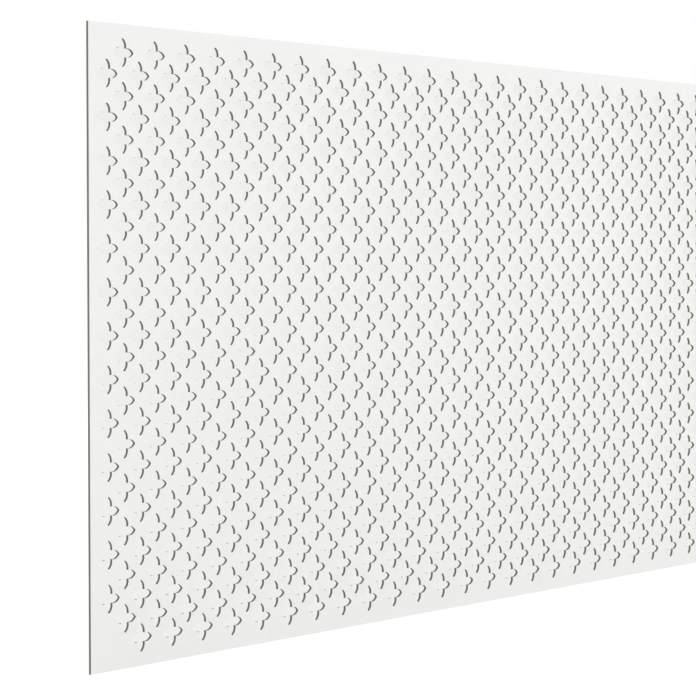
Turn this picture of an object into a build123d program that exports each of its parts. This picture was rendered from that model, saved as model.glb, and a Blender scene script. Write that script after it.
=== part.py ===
from build123d import *
from build123d.topology import SkipClean

import math
import os
from itertools import pairwise

# Pierced radiator panel: one rigid sheet of fibreboard with a thin facing on each side, cut through
# with staggered quatrefoil holes. Millimetres, Z up, X along the sheet, front towards -Y.
# The origin is at the middle of the bottom edge, half way through the thickness.

# The sheet
sheet_length = 1220.0
sheet_height = 610.0
core_thickness = 2.6
front_coat_thickness = 0.2
back_coat_thickness = 0.2

# The pattern: columns and rows are equally far apart, and every second place holds a hole
hole_spacing = 20.6
least_border = 6.0  # solid sheet kept between the outermost hole points and the sheet's edge

# One hole, measured from its centre
point_reach = 13.7  # to each of the four outer points
notch_offset = 4.3  # to each of the four inner notches, sideways and up alike
lobe_bulge = 1.7  # how far a lobe's side bows out from a straight line

# The flat faces are made in 45 degree strips, parted between diagonal rows of holes
diagonals_per_strip = 2


def places_along(length):
    """How many columns or rows fit along a side, with the border kept free at both ends."""
    free_length = length - 2 * (point_reach + least_border)
    return int(free_length / hole_spacing) + 1


columns = places_along(sheet_length)
rows = places_along(sheet_height)
first_column_x = -hole_spacing * (columns - 1) / 2
top_row_y = (sheet_height + hole_spacing * (rows - 1)) / 2
total_thickness = front_coat_thickness + core_thickness + back_coat_thickness


def hole_outline(column, row):
    """A pointed quatrefoil: four lobes, each with two bowed sides that meet in an outer point."""
    centre = Vector(first_column_x + (column - 1) * hole_spacing, top_row_y - (row - 1) * hole_spacing)
    lobe = [Vector(notch_offset, -notch_offset), Vector(point_reach, 0), Vector(notch_offset, notch_offset)]
    sides = []
    for quarter in range(4):
        notch, point, next_notch = [centre + corner.rotate(Axis.Z, 90 * quarter) for corner in lobe]
        sides.append(SagittaArc(notch, point, -lobe_bulge))
        sides.append(SagittaArc(point, next_notch, -lobe_bulge))
    return Wire(sides)


def has_hole(column, row):
    """Every second place has a hole, but the four corner places stay solid."""
    at_corner = column in (1, columns) and row in (1, rows)
    return (column + row) % 2 == 1 and not at_corner


def strip_outline(low, high):
    """The sheet between two 45 degree lines. A line is numbered column + row, as it crosses places."""
    reach = sheet_length + sheet_height
    ends = []
    for number, way in ((low, -1), (low, 1), (high, 1), (high, -1)):
        half_way = (number - 2) * hole_spacing / 2
        ends.append((first_column_x + half_way + way * reach, top_row_y - half_way + way * reach))
    sheet = Pos(0, sheet_height / 2) * Rectangle(sheet_length, sheet_height)
    return (sheet & make_face(Polyline(*ends, close=True))).face().outer_wire()


def strip_faces():
    """The sheet's face as strips with their holes, from the top left corner to the bottom right."""
    last_diagonal = columns + rows
    cuts = list(range(2 * diagonals_per_strip, last_diagonal - 1, 2 * diagonals_per_strip))
    faces = []
    for low, high in pairwise([-last_diagonal] + cuts + [2 * last_diagonal]):
        holes = [
            hole_outline(column, row)
            for column in range(1, columns + 1)
            for row in range(1, rows + 1)
            if low < column + row < high and has_hole(column, row)
        ]
        faces.append(Face(strip_outline(low, high), holes))
    return faces


def pierced_layer(thickness, depth):
    """One layer of the sheet as a single solid, stood up with its back face at the given depth."""
    strips = [Solid.extrude(face, Vector(0, 0, thickness)) for face in strip_faces()]
    with SkipClean():
        layer = strips[0].fuse(*strips[1:], glue=True).solid()
    return Plane.XZ * Pos(0, 0, depth) * layer


def back_coat():
    """The balancing film on the back."""
    return pierced_layer(back_coat_thickness, -total_thickness / 2)


def board_core():
    """The fibreboard, whose raw cut edge shows in every hole."""
    return pierced_layer(core_thickness, back_coat_thickness - total_thickness / 2)


def front_coat():
    """The white facing on the front."""
    return pierced_layer(front_coat_thickness, total_thickness / 2 - front_coat_thickness)


os.makedirs("parts", exist_ok=True)
for make_layer in (back_coat, board_core, front_coat):
    part = make_layer()
    part.label = make_layer.__name__
    export_step(part, f"parts/{part.label}.step", write_pcurves=False)
    web = hole_spacing * math.sqrt(2) - point_reach * math.sqrt(2)
    print(f"{part.label}: volume {part.volume / 1000:.1f} cm3, {columns} columns, {rows} rows")
print(f"least distance between the points of two neighbouring holes: {web:.1f} mm")
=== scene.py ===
import bpy, bmesh, math
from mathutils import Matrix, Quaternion, Vector


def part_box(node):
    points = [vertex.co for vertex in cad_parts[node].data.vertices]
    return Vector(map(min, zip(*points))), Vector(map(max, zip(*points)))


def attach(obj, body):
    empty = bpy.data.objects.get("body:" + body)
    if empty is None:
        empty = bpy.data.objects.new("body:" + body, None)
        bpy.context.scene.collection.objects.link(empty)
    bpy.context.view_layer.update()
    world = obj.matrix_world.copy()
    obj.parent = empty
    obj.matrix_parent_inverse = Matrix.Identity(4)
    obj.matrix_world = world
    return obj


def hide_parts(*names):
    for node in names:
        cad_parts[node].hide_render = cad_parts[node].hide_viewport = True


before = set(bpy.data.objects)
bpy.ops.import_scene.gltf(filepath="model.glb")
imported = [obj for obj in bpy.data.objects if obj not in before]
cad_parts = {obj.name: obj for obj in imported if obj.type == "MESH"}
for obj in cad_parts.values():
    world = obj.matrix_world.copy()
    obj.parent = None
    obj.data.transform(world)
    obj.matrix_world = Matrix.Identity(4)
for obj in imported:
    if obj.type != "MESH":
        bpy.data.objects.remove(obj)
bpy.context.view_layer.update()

# A pierced white radiator panel: two thin facings and the raw board between them.
# Metres. X runs along the sheet, Z is up, the front faces -Y.


# helpers for modelling

precision = {
    "same": 1e-5,      # places closer than this count as the same
    "merge": 1e-6,     # vertices closer than this become one
    "trim": 1e-7,
}


def startFresh():
    if bpy.context.object and bpy.context.object.mode == "EDIT":
        bpy.ops.object.mode_set(mode="OBJECT")
    bpy.ops.object.select_all(action="DESELECT")


def pickVerts(test):
    # edit mode: selects the vertices whose place passes the test, and what lies between them
    bpy.ops.mesh.select_mode(type="VERT")
    mesh = bmesh.from_edit_mesh(bpy.context.object.data)
    for item in list(mesh.faces) + list(mesh.edges) + list(mesh.verts):
        item.select = False
    for vert in mesh.verts:
        vert.select = bool(test(vert.co))
    mesh.select_flush_mode()
    bmesh.update_edit_mesh(bpy.context.object.data)


def mergeAll():
    bpy.ops.mesh.select_all(action="SELECT")
    bpy.ops.mesh.remove_doubles(threshold=precision["merge"])


def near(a, b):
    return abs(a - b) < precision["same"]


# the hole pattern, the same in all three layers

pattern = {
    "spacing": 0.0206,       # between neighbouring columns, and between rows
    "pointReach": 0.0137,    # hole centre to an outer point
    "notchOffset": 0.0043,   # hole centre to an inner notch, sideways and up
    "lobeBulge": 0.0017,     # how far a lobe's side bows out
    "leastBorder": 0.006,    # solid sheet kept outside the outermost points
    "stepsPerSide": 4,       # straight pieces in one side of a lobe
    "placesPastEdge": 2,     # laid out beyond the sheet, then trimmed off
}
coreLow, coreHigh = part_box("board_core")
sheetMiddle = (coreLow + coreHigh) / 2
sheetLength = coreHigh.x - coreLow.x
sheetHeight = coreHigh.z - coreLow.z


def placesAlong(length):
    free = length - 2 * (pattern["pointReach"] + pattern["leastBorder"])
    return int(free / pattern["spacing"] + precision["merge"]) + 1


columnCount = placesAlong(sheetLength)
rowCount = placesAlong(sheetHeight)


def placeOf(column, row):
    # columns count from the left, rows from the top, both from 1
    x = sheetMiddle.x + (column - (columnCount + 1) / 2) * pattern["spacing"]
    z = sheetMiddle.z - (row - (rowCount + 1) / 2) * pattern["spacing"]
    return x, z


def isPierced(column, row):
    # the four corner places stay solid, and so does everything past the edges
    inside = 1 <= column <= columnCount and 1 <= row <= rowCount
    atCorner = column in (1, columnCount) and row in (1, rowCount)
    return inside and not atCorner


def sideArc():
    # centre and angle of the bowed side from the lower right notch to the right hand point
    bulge = pattern["lobeBulge"]
    notch = Vector((pattern["notchOffset"], -pattern["notchOffset"]))
    point = Vector((pattern["pointReach"], 0))
    chord = point - notch
    radius = (chord.length ** 2 / 4 + bulge ** 2) / (2 * bulge)
    outward = Vector((chord.y, -chord.x)).normalized()
    centre = (notch + point) / 2 - outward * (radius - bulge)
    return centre, 2 * math.asin(chord.length / 2 / radius)


def turned(x, z, quarter):
    for _ in range(quarter):
        x, z = -z, x
    return x, z


def makeDiamond(name, y):
    # one place's share of the sheet as a bare outline, with a vertex halfway along each side
    startFresh()
    bpy.ops.mesh.primitive_circle_add(vertices=4, radius=pattern["spacing"], fill_type="NOTHING",
                                      location=(0, y, 0), rotation=(math.radians(90), 0, 0))
    cell = bpy.context.object
    cell.name = name
    bpy.ops.object.transform_apply(location=True, rotation=True, scale=True)
    bpy.ops.object.mode_set(mode="EDIT")
    bpy.ops.mesh.select_all(action="SELECT")
    bpy.ops.mesh.subdivide(number_cuts=1)
    return cell


def drawQuatrefoil(y):
    # edit mode: from halfway along a side in to a notch, then round the lobe to the next notch
    half = pattern["spacing"] / 2
    notch = pattern["notchOffset"]
    centre, angle = sideArc()
    for quarter in range(4):
        midX, midZ = turned(half, -half, quarter)
        notchX, notchZ = turned(notch, -notch, quarter)
        pickVerts(lambda co: near(co.x, midX) and near(co.z, midZ))
        bpy.ops.mesh.extrude_vertices_move(
            TRANSFORM_OT_translate={"value": (notchX - midX, 0, notchZ - midZ)})
        for arcZ in (centre.y, -centre.y):  # out to the point, then back
            arcX, arcZ = turned(centre.x, arcZ, quarter)
            bpy.ops.mesh.spin(steps=pattern["stepsPerSide"], angle=angle,
                              center=(arcX, y, arcZ), axis=(0, 1, 0))
    mergeAll()


def fillRoundLobes():
    # edit mode: one flat face outside each lobe, out to the diamond's corner
    for quarter in range(4):
        def inQuarter(co):
            x, z = turned(co.x, co.z, (4 - quarter) % 4)
            return x > abs(z) - precision["same"]
        pickVerts(inQuarter)
        bpy.ops.mesh.edge_face_add()


def pickOutline(y):
    def onOutline(co):
        return near(co.y, y) and math.hypot(co.x, co.z) < pattern["pointReach"] + precision["same"]
    pickVerts(onOutline)


def makeWall(outerY, innerY, ease):
    # edit mode: rolls the outer rim over by ease, then takes the hole's wall to the inner face
    rimY = outerY + math.copysign(ease, innerY - outerY)
    if ease:
        pickOutline(outerY)
        bpy.ops.mesh.extrude_edges_move(TRANSFORM_OT_translate={"value": (0, rimY - outerY, 0)})
        pickOutline(outerY)
        rimScale = 1 + ease / pattern["pointReach"]
        bpy.ops.transform.resize(value=(rimScale, 1, rimScale), center_override=(0, outerY, 0))
    pickOutline(rimY)
    bpy.ops.mesh.extrude_edges_move(TRANSFORM_OT_translate={"value": (0, innerY - rimY, 0)})
    mergeAll()


def makeCell(name, outerY, innerY, ease, pierced):
    # both faces of a layer at one place, and the wall of the hole if it has one
    cell = makeDiamond(name, outerY)
    if pierced:
        drawQuatrefoil(outerY)
        fillRoundLobes()
    else:
        bpy.ops.mesh.edge_face_add()
    bpy.ops.mesh.select_all(action="SELECT")
    bpy.ops.mesh.duplicate_move(TRANSFORM_OT_translate={"value": (0, innerY - outerY, 0)})
    if pierced:
        makeWall(outerY, innerY, ease)
    bpy.ops.object.mode_set(mode="OBJECT")
    return cell


def layOut(name, piercedCell, plainCell):
    # a copy of a cell at every second place, out past the sheet's edges, joined to one mesh
    startFresh()
    past = pattern["placesPastEdge"]
    copies = []
    for column in range(1 - past, columnCount + past + 1):
        for row in range(1 - past, rowCount + past + 1):
            if (column + row) % 2 == 0:
                continue
            cell = piercedCell if isPierced(column, row) else plainCell
            copy = bpy.data.objects.new(name, cell.data.copy())
            x, z = placeOf(column, row)
            copy.location = (x, 0, z)
            bpy.context.collection.objects.link(copy)
            copy.select_set(True)
            copies.append(copy)
    bpy.context.view_layer.objects.active = copies[0]
    bpy.ops.object.join()
    sheet = bpy.context.object
    bpy.ops.object.transform_apply(location=True, rotation=True, scale=True)
    sheet.name = name
    for cell in (piercedCell, plainCell):
        bpy.data.objects.remove(cell)
    return sheet


def trimToSize(low, high):
    # edit mode: cuts off what stands past the sheet's four edges, and closes them
    cuts = (((low.x, 0, 0), (-1, 0, 0)), ((high.x, 0, 0), (1, 0, 0)),
            ((0, 0, low.z), (0, 0, -1)), ((0, 0, high.z), (0, 0, 1)))
    for point, outward in cuts:
        bpy.ops.mesh.select_all(action="SELECT")
        bpy.ops.mesh.bisect(plane_co=point, plane_no=outward, clear_outer=True,
                            threshold=precision["trim"])
    bpy.ops.mesh.select_all(action="DESELECT")
    bpy.ops.mesh.select_non_manifold(extend=False, use_wire=False, use_boundary=True,
                                     use_multi_face=False, use_non_contiguous=False,
                                     use_verts=False)
    bpy.ops.mesh.bridge_edge_loops()


smoothAngle = 30  # degrees: smooth round a lobe, sharp at points, notches and rims


def makeLayer(name, node, ease=0, outerIsFront=True):
    low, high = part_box(node)
    outerY, innerY = (low.y, high.y) if outerIsFront else (high.y, low.y)
    piercedCell = makeCell(name + "Cell", outerY, innerY, ease, True)
    plainCell = makeCell(name + "Plain", outerY, innerY, ease, False)
    sheet = layOut(name, piercedCell, plainCell)
    bpy.ops.object.mode_set(mode="EDIT")
    mergeAll()
    trimToSize(low, high)
    bpy.ops.mesh.select_all(action="SELECT")
    bpy.ops.mesh.normals_make_consistent(inside=False)
    bpy.ops.object.mode_set(mode="OBJECT")
    bpy.ops.object.shade_smooth_by_angle(angle=math.radians(smoothAngle))
    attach(sheet, "root")
    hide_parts(node)
    return sheet


# node helpers

def newMaterial(name):
    material = bpy.data.materials.new(name)
    material.use_nodes = True
    nodes, links = material.node_tree.nodes, material.node_tree.links
    nodes.clear()
    output = nodes.new("ShaderNodeOutputMaterial")
    shader = nodes.new("ShaderNodeBsdfPrincipled")
    links.new(shader.outputs["BSDF"], output.inputs["Surface"])
    return material, nodes, links, shader


mottleSettings = {
    "inputs": {"drift": 4.0, "grain": 400.0, "grainShare": 0.5, "low": 0.0, "high": 1.0},
    "driftDetail": 2,
    "grainDetail": 4,
    "noiseFrom": 0.3,   # noise seldom leaves this range, which is spread out from low to high
    "noiseTo": 0.7,
}


def makeMottle():
    # uneven tone: a slow drift and a fine grain that can be stretched
    group = bpy.data.node_groups.new("mottle", "ShaderNodeTree")
    sockets = group.interface
    sockets.new_socket("stretch", in_out="INPUT",
                       socket_type="NodeSocketVector").default_value = (1, 1, 1)
    for label, value in mottleSettings["inputs"].items():
        sockets.new_socket(label, in_out="INPUT",
                           socket_type="NodeSocketFloat").default_value = value
    sockets.new_socket("value", in_out="OUTPUT", socket_type="NodeSocketFloat")
    nodes, links = group.nodes, group.links
    start, end = nodes.new("NodeGroupInput"), nodes.new("NodeGroupOutput")
    place = nodes.new("ShaderNodeTexCoord")
    stretch = nodes.new("ShaderNodeVectorMath")
    stretch.operation = "MULTIPLY"
    links.new(place.outputs["Object"], stretch.inputs[0])
    links.new(start.outputs["stretch"], stretch.inputs[1])
    drift, grain = nodes.new("ShaderNodeTexNoise"), nodes.new("ShaderNodeTexNoise")
    drift.inputs["Detail"].default_value = mottleSettings["driftDetail"]
    grain.inputs["Detail"].default_value = mottleSettings["grainDetail"]
    links.new(place.outputs["Object"], drift.inputs["Vector"])
    links.new(stretch.outputs["Vector"], grain.inputs["Vector"])
    links.new(start.outputs["drift"], drift.inputs["Scale"])
    links.new(start.outputs["grain"], grain.inputs["Scale"])
    blend = nodes.new("ShaderNodeMix")
    links.new(start.outputs["grainShare"], blend.inputs["Factor"])
    links.new(drift.outputs["Fac"], blend.inputs["A"])
    links.new(grain.outputs["Fac"], blend.inputs["B"])
    spread = nodes.new("ShaderNodeMapRange")
    spread.inputs["From Min"].default_value = mottleSettings["noiseFrom"]
    spread.inputs["From Max"].default_value = mottleSettings["noiseTo"]
    links.new(blend.outputs["Result"], spread.inputs["Value"])
    links.new(start.outputs["low"], spread.inputs["To Min"])
    links.new(start.outputs["high"], spread.inputs["To Max"])
    links.new(spread.outputs["Result"], end.inputs["value"])
    return group


mottleGroup = makeMottle()


def addMottle(nodes, **values):
    node = nodes.new("ShaderNodeGroup")
    node.node_tree = mottleGroup
    for label, value in values.items():
        node.inputs[label].default_value = value
    return node.outputs["value"]


def tonesBetween(nodes, links, value, look):
    ramp = nodes.new("ShaderNodeMix")
    ramp.data_type = "RGBA"
    ramp.inputs["A"].default_value = (*look["darkTone"], 1)
    ramp.inputs["B"].default_value = (*look["lightTone"], 1)
    links.new(value, ramp.inputs["Factor"])
    return ramp.outputs["Result"]


def addBump(nodes, links, height, shader, look):
    bump = nodes.new("ShaderNodeBump")
    bump.inputs["Strength"].default_value = look["bumpStrength"]
    bump.inputs["Distance"].default_value = look["bumpHeight"]
    links.new(height, bump.inputs["Height"])
    links.new(bump.outputs["Normal"], shader.inputs["Normal"])


# front facing: satin white film

frontLook = {
    "darkTone": (0.850, 0.852, 0.838),
    "lightTone": (0.880, 0.882, 0.868),
    "clouds": {"drift": 3.0, "grain": 60.0, "grainShare": 0.35},
    "gloss": {"drift": 6.0, "grain": 250.0, "grainShare": 0.6, "low": 0.36, "high": 0.46},
    "peel": {"drift": 300.0, "grain": 900.0, "grainShare": 0.7},
    "bumpStrength": 0.12,
    "bumpHeight": 0.00004,
    "rimEase": 0.00012,      # the film is rolled over at a cut edge
}


def makeFilmMaterial(name, look):
    material, nodes, links, shader = newMaterial(name)
    clouds = addMottle(nodes, **look["clouds"])
    links.new(tonesBetween(nodes, links, clouds, look), shader.inputs["Base Color"])
    links.new(addMottle(nodes, **look["gloss"]), shader.inputs["Roughness"])
    addBump(nodes, links, addMottle(nodes, **look["peel"]), shader, look)
    return material


filmEdgeLook = {
    "darkTone": (0.62, 0.60, 0.56),
    "lightTone": (0.82, 0.81, 0.79),
    "dust": {"drift": 40.0, "grain": 900.0, "grainShare": 0.6},
    "roughness": 0.55,
    "bumpStrength": 0.3,
    "bumpHeight": 0.00003,
}


def makeFilmEdge(name, look):
    # the cut edge of the film, a little dusty from the board
    material, nodes, links, shader = newMaterial(name)
    dust = addMottle(nodes, **look["dust"])
    links.new(tonesBetween(nodes, links, dust, look), shader.inputs["Base Color"])
    shader.inputs["Roughness"].default_value = look["roughness"]
    addBump(nodes, links, dust, shader, look)
    return material


flatNormal = 0.99  # a face is flat on the sheet where its normal's Y is more than this


def finishFacing(sheet, flatMaterial, edgeMaterial):
    # the flat faces get one material, cut rims and walls the other
    sheet.data.materials.clear()
    sheet.data.materials.append(flatMaterial)
    sheet.data.materials.append(edgeMaterial)
    for polygon in sheet.data.polygons:
        polygon.material_index = 0 if abs(polygon.normal.y) > flatNormal else 1


filmEdge = makeFilmEdge("filmEdge", filmEdgeLook)
frontSheet = makeLayer("frontFacing", "front_coat", frontLook["rimEase"])
finishFacing(frontSheet, makeFilmMaterial("satinWhiteFilm", frontLook), filmEdge)
print("front facing made:", len(frontSheet.data.polygons), "faces")


# raw fibreboard between the facings

boardLook = {
    "darkTone": (0.165, 0.148, 0.122),
    "lightTone": (0.290, 0.262, 0.222),
    "fibre": {"stretch": (0.25, 4.0, 0.25), "drift": 25.0, "grain": 700.0, "grainShare": 0.75},
    "skinTone": (0.120, 0.104, 0.084),   # the denser skins next to the facings
    "skinDepth": 0.0007,
    "skinShare": 0.7,
    "roughness": 0.92,
    "specular": 0.2,
    "bumpStrength": 0.6,
    "bumpHeight": 0.0002,
}


def makeBoardMaterial(name, look):
    material, nodes, links, shader = newMaterial(name)
    fibre = addMottle(nodes, **look["fibre"])
    body = tonesBetween(nodes, links, fibre, look)
    place = nodes.new("ShaderNodeTexCoord")
    split = nodes.new("ShaderNodeSeparateXYZ")
    links.new(place.outputs["Object"], split.inputs[0])
    depth = nodes.new("ShaderNodeMath")
    depth.operation = "ABSOLUTE"
    links.new(split.outputs["Y"], depth.inputs[0])
    skin = nodes.new("ShaderNodeMapRange")
    skin.inputs["From Min"].default_value = coreHigh.y - look["skinDepth"]
    skin.inputs["From Max"].default_value = coreHigh.y
    skin.inputs["To Max"].default_value = look["skinShare"]
    links.new(depth.outputs[0], skin.inputs["Value"])
    layered = nodes.new("ShaderNodeMix")
    layered.data_type = "RGBA"
    links.new(skin.outputs["Result"], layered.inputs["Factor"])
    links.new(body, layered.inputs["A"])
    layered.inputs["B"].default_value = (*look["skinTone"], 1)
    links.new(layered.outputs["Result"], shader.inputs["Base Color"])
    shader.inputs["Roughness"].default_value = look["roughness"]
    shader.inputs["Specular IOR Level"].default_value = look["specular"]
    addBump(nodes, links, fibre, shader, look)
    return material


boardSheet = makeLayer("rawBoard", "board_core")
boardSheet.data.materials.clear()
boardSheet.data.materials.append(makeBoardMaterial("cutFibreboard", boardLook))
print("board made:", len(boardSheet.data.polygons), "faces")


# back facing: plainer matt film

backLook = {
    "darkTone": (0.800, 0.792, 0.770),
    "lightTone": (0.850, 0.843, 0.825),
    "clouds": {"drift": 3.0, "grain": 60.0, "grainShare": 0.35},
    "gloss": {"drift": 6.0, "grain": 250.0, "grainShare": 0.6, "low": 0.55, "high": 0.70},
    "peel": {"drift": 300.0, "grain": 500.0, "grainShare": 0.7},
    "bumpStrength": 0.12,
    "bumpHeight": 0.00004,
    "rimEase": 0.00008,
}
backSheet = makeLayer("backFacing", "back_coat", backLook["rimEase"], outerIsFront=False)
finishFacing(backSheet, makeFilmMaterial("mattBackFilm", backLook), filmEdge)
print("back facing made:", len(backSheet.data.polygons), "faces")


# stage: pale floor, white surroundings, and a pale grey card behind the sheet with painted shade
# of the backdrop on it, showing through the holes

floorLook = {
    "size": 14.0,
    "color": (0.93, 0.93, 0.93),
    "glow": 0.27,             # seen by the camera only, brings the bare floor up to white
}
backdropShadeLook = {
    # painted shade: the grey of a backdrop shaded by the sheet, seen only through the holes
    "color": (0.860, 0.865, 0.835),
    "gap": 0.001,             # behind the back facing
    "inset": 0.002,           # from the sheet's edges
}
skyLook = {
    "level": 0.82,            # lights the object
    "seenLevel": 1.0,         # what the camera sees, white
}


def cameraOnly(nodes, links):
    # 1 where the camera sees the surface, straight, in gloss or through glass, and else 0
    path = nodes.new("ShaderNodeLightPath")
    seen = path.outputs["Is Camera Ray"]
    for ray in ("Is Glossy Ray", "Is Transmission Ray"):
        either = nodes.new("ShaderNodeMath")
        either.operation = "MAXIMUM"
        links.new(seen, either.inputs[0])
        links.new(path.outputs[ray], either.inputs[1])
        seen = either.outputs[0]
    return seen


def makeFloor(look):
    startFresh()
    bpy.ops.mesh.primitive_plane_add(size=look["size"], location=(0, 0, coreLow.z))
    floor = bpy.context.object
    floor.name = "floor"
    material, nodes, links, shader = newMaterial("paleFloor")
    shader.inputs["Base Color"].default_value = (*look["color"], 1)
    shader.inputs["Roughness"].default_value = 1.0
    shader.inputs["Specular IOR Level"].default_value = 0.0
    shader.inputs["Emission Color"].default_value = (1, 1, 1, 1)
    glow = nodes.new("ShaderNodeMath")
    glow.operation = "MULTIPLY"
    links.new(cameraOnly(nodes, links), glow.inputs[0])
    glow.inputs[1].default_value = look["glow"]
    links.new(glow.outputs[0], shader.inputs["Emission Strength"])
    floor.data.materials.append(material)


def makePaintedShadeCard(look):
    # only its front shows, and only to the camera: it hides no back and changes no light
    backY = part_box("back_coat")[1].y
    startFresh()
    bpy.ops.mesh.primitive_plane_add(size=1, rotation=(math.radians(90), 0, 0),
                                     location=(sheetMiddle.x, backY + look["gap"], sheetMiddle.z))
    card = bpy.context.object
    card.name = "paintedShadeCard"
    card.scale = (sheetLength - 2 * look["inset"], sheetHeight - 2 * look["inset"], 1)
    bpy.ops.object.transform_apply(location=True, rotation=True, scale=True)
    material = bpy.data.materials.new("paintedBackdropShade")
    material.use_nodes = True
    nodes, links = material.node_tree.nodes, material.node_tree.links
    nodes.clear()
    output = nodes.new("ShaderNodeOutputMaterial")
    # painted shade: a flat grey glow in place of the backdrop's shade behind the sheet
    tone, clear = nodes.new("ShaderNodeEmission"), nodes.new("ShaderNodeBsdfTransparent")
    tone.inputs["Color"].default_value = (*look["color"], 1)
    side, mix = nodes.new("ShaderNodeNewGeometry"), nodes.new("ShaderNodeMixShader")
    links.new(side.outputs["Backfacing"], mix.inputs["Fac"])
    links.new(tone.outputs[0], mix.inputs[1])
    links.new(clear.outputs[0], mix.inputs[2])
    links.new(mix.outputs[0], output.inputs["Surface"])
    card.data.materials.append(material)
    card.visible_diffuse = False
    card.visible_glossy = False
    card.visible_transmission = False
    card.visible_shadow = False


def makeSky(look):
    world = bpy.data.worlds.new("studio")
    bpy.context.scene.world = world
    world.use_nodes = True
    nodes, links = world.node_tree.nodes, world.node_tree.links
    nodes.clear()
    output = nodes.new("ShaderNodeOutputWorld")
    light, white = nodes.new("ShaderNodeBackground"), nodes.new("ShaderNodeBackground")
    for node, strength in ((light, look["level"]), (white, look["seenLevel"])):
        node.inputs["Color"].default_value = (1, 1, 1, 1)
        node.inputs["Strength"].default_value = strength
    mix = nodes.new("ShaderNodeMixShader")
    links.new(cameraOnly(nodes, links), mix.inputs["Fac"])
    links.new(light.outputs[0], mix.inputs[1])
    links.new(white.outputs[0], mix.inputs[2])
    links.new(mix.outputs[0], output.inputs["Surface"])


makeFloor(floorLook)
makePaintedShadeCard(backdropShadeLook)
makeSky(skyLook)
print("stage set")


# lamps: broad soft lights in front, at the left end and behind

lamps = {
    "front": {"place": (0.8, -3.2, 0.75), "size": 1.4, "power": 21.0},
    "left": {"place": (-3.0, -0.8, 1.6), "size": 2.0, "power": 2.5},
    "back": {"place": (0.4, 3.4, 1.8), "size": 3.0, "power": 16.0},
}
for label, lamp in lamps.items():
    light = bpy.data.lights.new(label + "Light", "AREA")
    light.size = lamp["size"]
    light.energy = lamp["power"]
    holder = bpy.data.objects.new(label + "Light", light)
    holder.location = lamp["place"]
    holder.rotation_euler = (sheetMiddle - holder.location).to_track_quat("-Z", "Y").to_euler()
    bpy.context.collection.objects.link(holder)


# camera: to the left, held level, close enough that the far end runs out of the picture

cameraPlace = {
    "place": (-2.010, -1.5688, 0.380),
    "aim": (-0.2471, -0.0015, 0.380),
    "roll": -0.25,            # degrees
    "lens": 115.86,
    "shiftDown": 0.1176,      # the verticals stay parallel, as in the photograph
}
lens = bpy.data.cameras.new("camera")
lens.lens = cameraPlace["lens"]
lens.shift_y = -cameraPlace["shiftDown"]
camera = bpy.data.objects.new("camera", lens)
camera.location = cameraPlace["place"]
aimed = (Vector(cameraPlace["aim"]) - camera.location).to_track_quat("-Z", "Y")
roll = Quaternion((0, 0, 1), math.radians(cameraPlace["roll"]))
camera.rotation_euler = (aimed @ roll).to_euler()
bpy.context.collection.objects.link(camera)
bpy.context.scene.camera = camera
bpy.context.scene.view_settings.view_transform = "Standard"
print("lamps and camera set")
